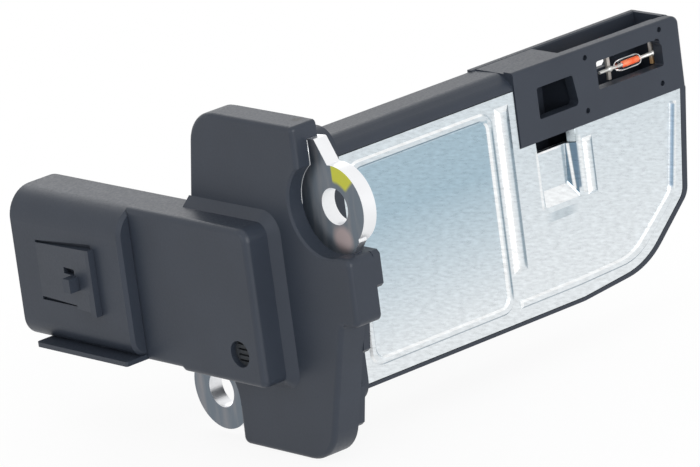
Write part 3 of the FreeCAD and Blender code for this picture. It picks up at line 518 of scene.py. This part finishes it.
def sealed_glass():
    """Soda glass, flame sealed: clear and smooth; its white rims, seen edge on, are a painted glow.

    The bead is a thin walled tube, so it bends light less than solid glass does.
    """
    material, tree, shader, place = new_material(
        "sealed_glass", {"Base Color": WHITE, "IOR": 1.2, "Emission Color": WHITE})
    # Painted highlight and painted glow: seen edge on, the glass lets less light through its white
    # base and glows white
    edge = add_node(tree, "ShaderNodeLayerWeight", {"Blend": 0.5})
    clear = add_node(tree, "ShaderNodeMapRange",
                     {"From Min": 0.5, "From Max": 0.85, "To Min": 1.0, "To Max": 0.3},
                     {"Value": edge.outputs["Facing"]})
    rim_glow_painted = add_node(tree, "ShaderNodeMapRange",
                        {"From Min": 0.55, "From Max": 0.85, "To Max": 0.55},
                        {"Value": edge.outputs["Facing"]})
    wave = add_node(tree, "ShaderNodeTexNoise", {"Scale": GLASS_WAVES / MM, "Detail": 1.0},
                    {"Vector": place})
    polish = add_node(tree, "ShaderNodeMapRange",
                      {"From Min": NOISE_LOW, "From Max": NOISE_HIGH,
                       "To Min": 0.02, "To Max": 0.08}, {"Value": wave})
    link(tree, shader, {"Transmission Weight": clear, "Emission Strength": rim_glow_painted,
                        "Roughness": polish})
    return material


def element_coat(colour):
    """Enamel, dipped and fired: even orange red, with paler spots where it is thin."""
    # A faint emission in the coat's own colour is a painted glow, standing in for light the glass
    # gathers onto it
    material, tree, shader, place = new_material(
        "element_coat", {"Roughness": 0.4, "Emission Color": colour, "Emission Strength": 0.25})
    spots = add_node(tree, "ShaderNodeTexNoise", {"Scale": COAT_SPOTS / MM, "Detail": 2.0},
                     {"Vector": place})
    thin = add_node(tree, "ShaderNodeMapRange", {"From Min": 0.35, "From Max": 0.65},
                    {"Value": spots})
    coat = add_node(tree, "ShaderNodeMix",
                    {"data_type": "RGBA", MIX_A: colour, MIX_B: linear("#FF9468")},
                    {"Factor": thin})
    link(tree, shader, {"Base Color": coat})
    return material


def bright_metal(name, code, stain, rough, size, metallic=1.0, heat=None):
    """Plain bright metal with stains of this size in millimetres.

    Tinned metal is less metallic, because the flux dulls it. Heat is the colour of a welded end.
    """
    material, tree, shader, place = new_material(name, {"Metallic": metallic})
    stains = add_node(tree, "ShaderNodeTexNoise", {"Scale": 1 / (size * MM), "Detail": 3.0},
                      {"Vector": place})
    tint = add_node(tree, "ShaderNodeMix",
                    {"data_type": "RGBA", MIX_A: linear(code), MIX_B: linear(stain)},
                    {"Factor": stains})
    if heat:
        where = add_node(tree, "ShaderNodeSeparateXYZ", links={0: place})
        end = add_node(tree, "ShaderNodeMapRange",
                       {"From Min": HEAT_START_Z, "From Max": HEAT_END_Z},
                       {"Value": where.outputs["Z"]})
        tint = add_node(tree, "ShaderNodeMix", {"data_type": "RGBA", MIX_B: linear(heat)},
                        {"Factor": end, MIX_A: tint})
    link(tree, shader, {"Base Color": tint})
    add_relief(tree, shader, stains, rough - 0.05, rough + 0.1, 0.2, 0.02)
    return material


def dull_solid(name, code, stain, rough, size, ior):
    """Dull solid with mottling of this size in millimetres."""
    material, tree, shader, place = new_material(name, {"IOR": ior, "Roughness": rough})
    spots = add_node(tree, "ShaderNodeTexNoise", {"Scale": 1 / (size * MM), "Detail": 3.0},
                     {"Vector": place})
    tint = add_node(tree, "ShaderNodeMix",
                    {"data_type": "RGBA", MIX_A: linear(code), MIX_B: linear(stain)},
                    {"Factor": spots})
    bump = add_node(tree, "ShaderNodeBump", {"Strength": 0.3, "Distance": 0.02 * MM},
                    {"Height": spots})
    link(tree, shader, {"Base Color": tint, "Normal": bump})
    return material


def painted_floor():
    """Matt white paint, rolled: a faint shadow shows near the sensor, and plain white elsewhere."""
    material, tree, shader, place = new_material(
        "painted_floor", {"Base Color": linear("#F7F7F7"), "Roughness": 0.9})
    distance = add_node(tree, "ShaderNodeVectorMath", {"operation": "LENGTH"}, {0: place})
    plain = add_node(tree, "ShaderNodeMapRange",
                     {"From Min": WHITE_START, "From Max": WHITE_END, "To Min": WHITE_LEAST},
                     {"Value": distance})
    share = add_node(tree, "ShaderNodeMath", {"operation": "MULTIPLY"},
                     {0: rays_of_sight(tree), 1: plain})
    white = add_node(tree, "ShaderNodeEmission", {"Color": WHITE, "Strength": 1.0})
    both = add_node(tree, "ShaderNodeMixShader", links={0: share, 1: shader, 2: white})
    link(tree, tree.get_output_node("ALL"), {"Surface": both})
    return material


# Settings


class SensorFinish(bpy.types.PropertyGroup):
    """Colours and roughness of the sensor's main finishes"""
    # Its dark grey is the housing's own; its blue tint is painted light, standing in for blue light
    # from the side
    plastic_colour: FloatVectorProperty(
        name="Plastic", description="Colour of the moulded housing", subtype="COLOR", size=4,
        default=linear("#2D333D"), min=0.0, max=1.0)
    plastic_rough: FloatProperty(
        name="Plastic roughness", description="Roughness of the moulded housing",
        subtype="FACTOR", default=0.42, min=0.0, max=1.0)
    plate_colour: FloatVectorProperty(
        name="Plate", description="Colour of the rolled sheet", subtype="COLOR", size=4,
        default=linear("#E4E9EC"), min=0.0, max=1.0)
    panel_colour: FloatVectorProperty(
        name="Panel", description="Colour of the sheet's panel at its top", subtype="COLOR",
        size=4, default=linear("#A7BECB"), min=0.0, max=1.0)
    plate_rough: FloatProperty(
        name="Plate roughness", description="Roughness of the rolled sheet", subtype="FACTOR",
        default=0.3, min=0.0, max=1.0)
    ear_colour: FloatVectorProperty(
        name="Ear faces", description="Colour of the steel ears' faces", subtype="COLOR", size=4,
        default=linear("#6C757E"), min=0.0, max=1.0)
    edge_colour: FloatVectorProperty(
        name="Ear edges", description="Colour of the steel ears' cut edges", subtype="COLOR",
        size=4, default=linear("#F0F1F3"), min=0.0, max=1.0)
    paint_colour: FloatVectorProperty(
        name="Paint dab", description="Colour of the dab of marking paint", subtype="COLOR",
        size=4, default=linear("#B4B52C"), min=0.0, max=1.0)
    element_colour: FloatVectorProperty(
        name="Element", description="Colour of the element in the glass bead", subtype="COLOR",
        size=4, default=linear("#FF5F30"), min=0.0, max=1.0)


class PieceSizes(bpy.types.PropertyGroup):
    """Sizes of the small pieces that stand beside the CAD's own"""
    burr_radius: FloatProperty(
        name="Burr radius", description="Radius of the burr beside the upper ear",
        unit="LENGTH", subtype="DISTANCE", precision=5, default=0.07 * MM, min=0.0)
    cheek_height: FloatProperty(
        name="Cheek height", description="Height of the sheet's cheek beside the outlet slot",
        unit="LENGTH", subtype="DISTANCE", precision=5, default=1.9 * MM, min=0.0)
    glass_radius: FloatProperty(
        name="Bead radius", description="Radius of the glass bead",
        unit="LENGTH", subtype="DISTANCE", precision=5, default=0.84 * MM, min=0.0)
    glass_length: FloatProperty(
        name="Bead length", description="Length of the glass bead",
        unit="LENGTH", subtype="DISTANCE", precision=5, default=4.7 * MM, min=0.0)
    element_radius: FloatProperty(
        name="Element radius", description="Radius of the element in the bead",
        unit="LENGTH", subtype="DISTANCE", precision=5, default=0.36 * MM, min=0.0)
    element_length: FloatProperty(
        name="Element length", description="Length of the element in the bead",
        unit="LENGTH", subtype="DISTANCE", precision=5, default=3.2 * MM, min=0.0)
    lead_radius: FloatProperty(
        name="Lead radius", description="Radius of the bead's far lead",
        unit="LENGTH", subtype="DISTANCE", precision=5, default=0.25 * MM, min=0.0)
    lead_length: FloatProperty(
        name="Lead length", description="Length of the bead's far lead",
        unit="LENGTH", subtype="DISTANCE", precision=5, default=5.1 * MM, min=0.0)


class StudioSettings(bpy.types.PropertyGroup):
    """Power of the lamps, and the floor's place"""
    top_power: FloatProperty(
        name="Top lamp", description="Power of the large lamp above", unit="POWER",
        default=2.1, min=0.0)
    front_power: FloatProperty(
        name="Front lamp", description="Power of the lamp that faces the flange", unit="POWER",
        default=3.2, min=0.0)
    side_power: FloatProperty(
        name="Side lamp", description="Power of the lamp that faces the plate", unit="POWER",
        default=12.0, min=0.0)
    back_power: FloatProperty(
        name="Back lamp", description="Power of the lamp behind the sensor", unit="POWER",
        default=3.0, min=0.0)
    floor_gap: FloatProperty(
        name="Floor gap", description="Clearance between the flange's lower end and the floor",
        unit="LENGTH", subtype="DISTANCE", default=0.0001, min=0.0)


# Operators


class SENSOR_OT_camera(bpy.types.Operator):
    """Stands the camera at the photograph's viewpoint"""
    bl_idname = "sensor.camera"
    bl_label = "Camera"

    def execute(self, context):
        data = bpy.data.cameras.new("camera")
        data.lens = CAMERA_LENS
        data.sensor_width = SENSOR_WIDTH
        data.sensor_fit = "HORIZONTAL"
        data.clip_start = CLIP_START
        camera = bpy.data.objects.new("camera", data)
        right = Vector(CAMERA_RIGHT)
        up = Vector(CAMERA_UP)
        turn = Matrix((right, up, right.cross(up))).transposed()
        camera.matrix_world = Matrix.Translation(CAMERA_PLACE) @ turn.to_4x4()
        context.scene.collection.objects.link(camera)
        context.scene.camera = camera
        return {"FINISHED"}


class SENSOR_OT_studio(bpy.types.Operator):
    """Lays the white floor, hangs the soft lamps and lights the world"""
    bl_idname = "sensor.studio"
    bl_label = "Studio"

    def lay_floor(self, context, height):
        bm = bmesh.new()
        bmesh.ops.create_grid(bm, x_segments=1, y_segments=1, size=FLOOR_HALF)
        bmesh.ops.translate(bm, verts=bm.verts, vec=(0.0, 0.0, height))
        mesh = bpy.data.meshes.new("floor")
        bm.to_mesh(mesh)
        bm.free()
        mesh.materials.append(painted_floor())
        floor = bpy.data.objects.new("floor", mesh)
        context.scene.collection.objects.link(floor)

    def hang_lamp(self, context, name, power, size, place, target):
        data = bpy.data.lights.new(name, "AREA")
        data.shape = "DISK"
        data.size = size
        data.energy = power
        light = bpy.data.objects.new(name, data)
        light.location = place
        light.rotation_euler = (target - place).to_track_quat("-Z", "Y").to_euler()
        context.scene.collection.objects.link(light)

    def light_world(self, context):
        world = bpy.data.worlds.new("studio")
        world.use_nodes = True
        tree = world.node_tree
        tree.nodes.clear()
        strength = add_node(tree, "ShaderNodeMapRange", {"To Min": WORLD_LIGHT},
                            {"Value": rays_of_sight(tree)})
        sky = add_node(tree, "ShaderNodeBackground", {"Color": WHITE}, {"Strength": strength})
        add_node(tree, "ShaderNodeOutputWorld", links={"Surface": sky})
        context.scene.world = world

    def execute(self, context):
        studio = context.scene.sensor_studio
        low, high = CAD_BOX
        middle = (Vector(low) + Vector(high)) / 2
        self.lay_floor(context, low[2] - studio.floor_gap)
        for name, power, size, offset in LAMPS:
            self.hang_lamp(context, name, getattr(studio, power), size,
                           middle + Vector(offset), middle)
        self.light_world(context)
        context.scene.view_settings.view_transform = "Standard"
        return {"FINISHED"}


class SENSOR_OT_mouldings(bpy.types.Operator):
    """Finishes the plastic mouldings"""
    bl_idname = "sensor.mouldings"
    bl_label = "Mouldings"

    def execute(self, context):
        finish = context.scene.sensor_finish
        housing = moulded_pbt("housing_pbt", finish.plastic_colour, finish.plastic_rough)
        dress(["main_housing"], housing)
        # The covers come from another mould, and are a little darker and duller
        covers = moulded_pbt("cover_pbt", shade(finish.plastic_colour, 0.9),
                             finish.plastic_rough + 0.04)
        dress(["bypass_cover", "electronics_cover"], covers)
        return {"FINISHED"}


class SENSOR_OT_metal(bpy.types.Operator):
    """Finishes the stamped plate, the steel ears, the blades and the ribbons"""
    bl_idname = "sensor.metal"
    bl_label = "Plate, ears, blades and ribbons"

    def execute(self, context):
        finish = context.scene.sensor_finish
        dress(["base_plate"],
              rolled_aluminium(finish.plate_colour, finish.panel_colour, finish.plate_rough))
        dress(["mounting_plate"],
              punched_steel(finish.ear_colour, finish.edge_colour, finish.paint_colour))
        # Brass, rolled and tinned: pale and warm, with soft stains
        dress([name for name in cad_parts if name.startswith("terminal_")],
              bright_metal("tinned_brass", "#CFC9B4", "#B7AE92", 0.25, 1.2))
        # Aluminium, drawn: silver white and glossy
        dress(["bond_ribbons", "film_ribbons"],
              bright_metal("bonding_ribbon", "#E6E6E4", "#CFCFCC", 0.2, 0.4))
        return {"FINISHED"}


class SENSOR_OT_burr(bpy.types.Operator):
    """Draws the thin burr where the upper ear leaves the plastic, white as a painted highlight"""
    bl_idname = "sensor.burr"
    bl_label = "Ear burr"

    def execute(self, context):
        face = EAR_FACE_X / MM
        radius = context.scene.sensor_sizes.burr_radius / MM
        bm = bmesh.new()
        bmesh.ops.create_circle(bm, cap_ends=True, segments=BURR_SIDES, radius=radius)
        bmesh.ops.translate(bm, verts=bm.verts, vec=(face, BURR_Y, BURR_TOP_Z))
        drawn = bmesh.ops.extrude_face_region(bm, geom=bm.faces[:])["geom"]
        foot = of_kind(drawn, bmesh.types.BMVert)
        bmesh.ops.translate(bm, verts=foot, vec=(0.0, 0.0, BURR_TURN_Z - BURR_TOP_Z))
        end = of_kind(drawn, bmesh.types.BMFace)
        bmesh.ops.spin(bm, geom=end, cent=(face, EAR_HOLE_Y / MM, EAR_HOLE_Z / MM),
                       axis=(1.0, 0.0, 0.0), angle=math.radians(-BURR_SWEEP), steps=BURR_STEPS)
        bmesh.ops.delete(bm, geom=end, context="FACES_ONLY")
        # Steel, sheared: plain white, a painted highlight along the line where the ear meets the
        # plastic
        burr = bright_metal("sheared_burr", "#FFFFFF", "#C9CDD0", 0.25, 0.6)
        finish_piece("ear_burr", bm, burr)
        return {"FINISHED"}


class SENSOR_OT_cheek(bpy.types.Operator):
    """Raises the cheek of the sheet that closes the outlet's right side above its lip"""
    bl_idname = "sensor.cheek"
    bl_label = "Outlet cheek"

    def execute(self, context):
        height = context.scene.sensor_sizes.cheek_height / MM
        bm = bmesh.new()
        foot = bm.faces.new([bm.verts.new((x, y, CHEEK_FOOT_Z)) for x, y in CHEEK_FOOT])
        raised = bmesh.ops.extrude_face_region(bm, geom=[foot])["geom"]
        top = of_kind(raised, bmesh.types.BMVert)
        bmesh.ops.translate(bm, verts=top, vec=(0.0, 0.0, height))
        bmesh.ops.bevel(bm, geom=bm.edges[:], offset=CHEEK_ROUNDING, segments=2, profile=0.5,
                        affect="EDGES", material=-1)
        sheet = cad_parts["base_plate"].data.materials[0]
        finish_piece("outlet_cheek", bm, sheet)
        return {"FINISHED"}


class SENSOR_OT_bead(bpy.types.Operator):
    """Blows the glass bead, and finishes its leads and the strips that carry it"""
    bl_idname = "sensor.bead"
    bl_label = "Air temperature sensor"

    def turned(self, start, profile):
        """Spins a profile of lengths and radii about the leads' line."""
        bm = bmesh.new()
        verts = [bm.verts.new((start + x, BEAD_Y, BEAD_Z + radius)) for x, radius in profile]
        edges = [bm.edges.new(pair) for pair in zip(verts, verts[1:])]
        bmesh.ops.spin(bm, geom=verts + edges, cent=(start, BEAD_Y, BEAD_Z),
                       axis=(1.0, 0.0, 0.0), angle=math.tau, steps=SPIN_STEPS, use_merge=True)
        return bm

    def glass(self, radius, length):
        """Tube closed in a flame: a long soft shoulder on its near side, a short far one."""
        near = [(x, radius - less) for x, less in NEAR_SHOULDER]
        far = [(length - x, radius - less) for x, less in FAR_SHOULDER]
        return self.turned(GLASS_START, [(0.0, 0.0), *near, *far, (length, 0.0)])

    def element(self, radius, length):
        """Coated element with soft edges."""
        return self.turned(ELEMENT_START, (
            (0.0, 0.0),
            (0.0, radius - ELEMENT_EDGE),
            (ELEMENT_EDGE, radius),
            (length - ELEMENT_EDGE, radius),
            (length, radius - ELEMENT_EDGE),
            (length, 0.0),
        ))

    def far_lead(self, radius, length):
        """Far lead, nipped a little thicker at its cut end."""
        nip = [(length - x, radius + more) for x, more in LEAD_NIP]
        return self.turned(LEAD_START, [(0.0, 0.0), (0.0, radius), *nip, (length, 0.0)])

    def weld(self, x, size):
        """Nugget where a lead is welded on its post, flat where it lies on it."""
        bm = bmesh.new()
        bmesh.ops.create_icosphere(bm, subdivisions=3, radius=0.5)
        bmesh.ops.scale(bm, vec=size, verts=bm.verts)
        cut = bmesh.ops.bisect_plane(bm, geom=bm.verts[:] + bm.edges[:] + bm.faces[:],
                                     plane_co=(0.0, POST_FACE_Y - BEAD_Y, 0.0),
                                     plane_no=(0.0, 1.0, 0.0), clear_outer=True)["geom_cut"]
        bmesh.ops.edgeloop_fill(bm, edges=of_kind(cut, bmesh.types.BMEdge))
        bmesh.ops.translate(bm, verts=bm.verts, vec=(x, BEAD_Y, BEAD_Z))
        return bm

    def execute(self, context):
        sizes = context.scene.sensor_sizes
        tube = self.glass(sizes.glass_radius / MM, sizes.glass_length / MM)
        bead = finish_piece("glass_bead", tube, sealed_glass())
        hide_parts("temperature_glass")
        rod = self.element(sizes.element_radius / MM, sizes.element_length / MM)
        coat = element_coat(context.scene.sensor_finish.element_colour)
        element = finish_piece("bead_element", rod, coat)
        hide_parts("temperature_element")
        # Wire, drawn and tinned: white metal, dulled by the flux
        wire = bright_metal("tinned_wire", "#F2F2F0", "#CFCEC8", 0.35, 0.5, 0.6)
        dress(["temperature_lead_near"], wire)
        drawn = self.far_lead(sizes.lead_radius / MM, sizes.lead_length / MM)
        lead = finish_piece("far_lead", drawn, wire)
        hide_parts("temperature_lead_far")
        for name, x, size in WELDS:
            finish_piece(name, self.weld(x, size), wire)
        # Strip, punched and tinned: a warm grey, which the weld's heat turns tan on the far one
        dress(["temperature_conductor_near"],
              bright_metal("tinned_strip", "#C9C5C1", "#9A938B", 0.4, 0.8, 0.6))
        dress(["temperature_conductor_far"],
              bright_metal("heated_strip", "#DAD6D2", "#B4ADA5", 0.4, 0.8, 0.6, "#EDC08A"))
        return {"FINISHED"}


class SENSOR_OT_circuit(bpy.types.Operator):
    """Finishes the circuit, its gel, its sealant, the seal ring and the vent"""
    bl_idname = "sensor.circuit"
    bl_label = "Circuit and seals"

    def execute(self, context):
        for *finish, names in DULL_FINISHES:
            dress(names, dull_solid(*finish))
        return {"FINISHED"}


class SENSOR_PT_panel(bpy.types.Panel):
    """Lists the steps that dress the sensor"""
    bl_idname = "SENSOR_PT_panel"
    bl_label = "Airflow Sensor"
    bl_space_type = "VIEW_3D"
    bl_region_type = "UI"
    bl_category = "Airflow Sensor"

    def draw(self, context):
        for operator in STEPS:
            self.layout.operator(operator.bl_idname)
        scene = context.scene
        for group in (scene.sensor_finish, scene.sensor_sizes, scene.sensor_studio):
            for name in group.__annotations__:
                self.layout.prop(group, name)


STEPS = (
    SENSOR_OT_camera,
    SENSOR_OT_studio,
    SENSOR_OT_mouldings,
    SENSOR_OT_metal,
    SENSOR_OT_burr,
    SENSOR_OT_cheek,
    SENSOR_OT_bead,
    SENSOR_OT_circuit,
)
CLASSES = (SensorFinish, PieceSizes, StudioSettings) + STEPS + (SENSOR_PT_panel,)


def register():
    """Adds the classes and their settings to Blender."""
    for cls in CLASSES:
        bpy.utils.register_class(cls)
    bpy.types.Scene.sensor_finish = PointerProperty(type=SensorFinish)
    bpy.types.Scene.sensor_sizes = PointerProperty(type=PieceSizes)
    bpy.types.Scene.sensor_studio = PointerProperty(type=StudioSettings)


def unregister():
    """Takes the settings and the classes out again."""
    del bpy.types.Scene.sensor_studio
    del bpy.types.Scene.sensor_sizes
    del bpy.types.Scene.sensor_finish
    for cls in reversed(CLASSES):
        bpy.utils.unregister_class(cls)


def main():
    """Runs the steps in order."""
    register()
    bpy.ops.sensor.camera()
    bpy.ops.sensor.studio()
    bpy.ops.sensor.mouldings()
    bpy.ops.sensor.metal()
    bpy.ops.sensor.burr()
    bpy.ops.sensor.cheek()
    bpy.ops.sensor.bead()
    bpy.ops.sensor.circuit()


if __name__ == "__main__":
    main()
